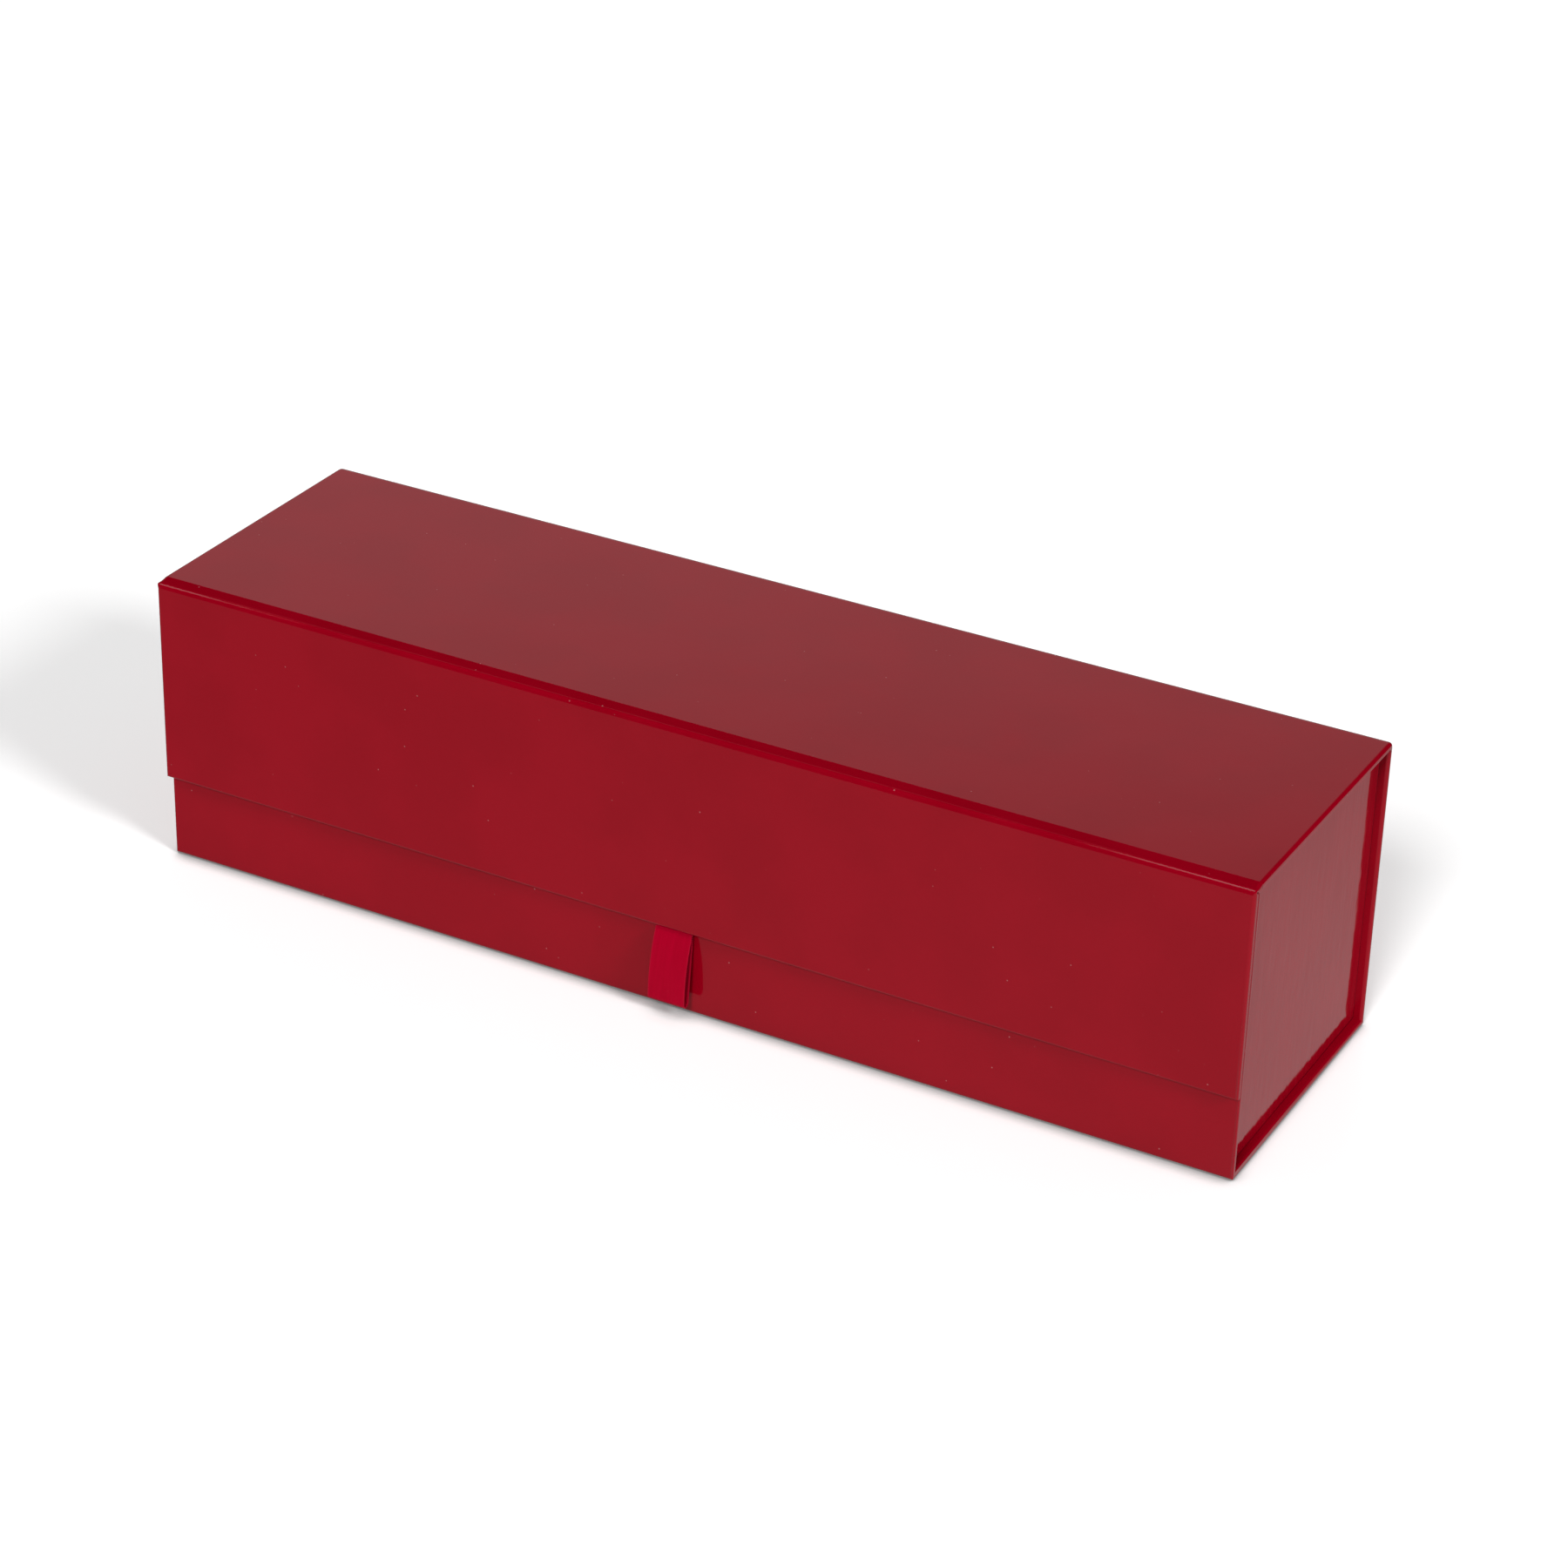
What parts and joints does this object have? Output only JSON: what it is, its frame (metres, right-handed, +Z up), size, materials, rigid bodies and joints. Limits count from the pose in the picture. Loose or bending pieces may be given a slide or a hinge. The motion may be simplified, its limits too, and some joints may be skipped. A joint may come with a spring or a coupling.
{
  "type": "magnetic gift box",
  "caption": "Long rigid gift box with a hinged lid, a magnetic front flap, set-back end walls and a ribbon pull loop.",
  "frame": {"origin": "middle of the tray's underside, on the surface that the box stands on", "axes": "+X along the box, -Y towards the flap and its ribbon, +Z up"},
  "size_m": [0.34, 0.0978, 0.09],
  "materials": {
    "cover_paper": "glossy laminated red",
    "greyboard": "raw greyboard",
    "lining_paper": "matt red",
    "gummed_paper": "matt red",
    "magnet": "nickel plated",
    "steel_plate": "zinc plated",
    "ribbon": "red satin"
  },
  "bodies": {
    "tray": {"base_board": "greyboard", "base_lining": "lining_paper", "base_cover": "cover_paper", "front_board": "greyboard", "front_lining": "lining_paper", "front_cover": "cover_paper", "spine_board": "greyboard", "spine_lining": "lining_paper", "spine_cover": "cover_paper", "left_end_board": "greyboard", "left_end_lining": "lining_paper", "left_end_cover": "cover_paper", "right_end_board": "greyboard", "right_end_lining": "lining_paper", "right_end_cover": "cover_paper", "back_fold": "cover_paper", "left_base_tab": "gummed_paper", "left_front_tab": "gummed_paper", "left_spine_tab": "gummed_paper", "right_base_tab": "gummed_paper", "right_front_tab": "gummed_paper", "right_spine_tab": "gummed_paper", "left_plate": "steel_plate", "right_plate": "steel_plate"},
    "lid": {"lid_board": "greyboard", "lid_lining": "lining_paper", "lid_cover": "cover_paper", "front_fold": "cover_paper"},
    "flap": {"flap_board": "greyboard", "flap_lining": "lining_paper", "flap_cover": "cover_paper", "left_magnet": "magnet", "right_magnet": "magnet", "ribbon_tail": "ribbon"},
    "ribbon": {"ribbon_loop": "ribbon"}
  },
  "joints": [
    {"name": "lid_fold", "type": "hinge", "parent": "tray", "child": "lid", "pos_m": [0, 0.0456, 0.08935], "axis": [-1, 0, 0], "range_deg": [0, 180]},
    {"name": "flap_fold", "type": "hinge", "parent": "lid", "child": "flap", "pos_m": [0, -0.0481, 0.08935], "axis": [-1, 0, 0], "range_deg": [0, 120]},
    {"name": "ribbon_swing", "type": "hinge", "parent": "flap", "child": "ribbon", "pos_m": [0.00075, -0.04704, 0.0262], "axis": [-1, 0, 0], "range_deg": [0, 60]}
  ]
}
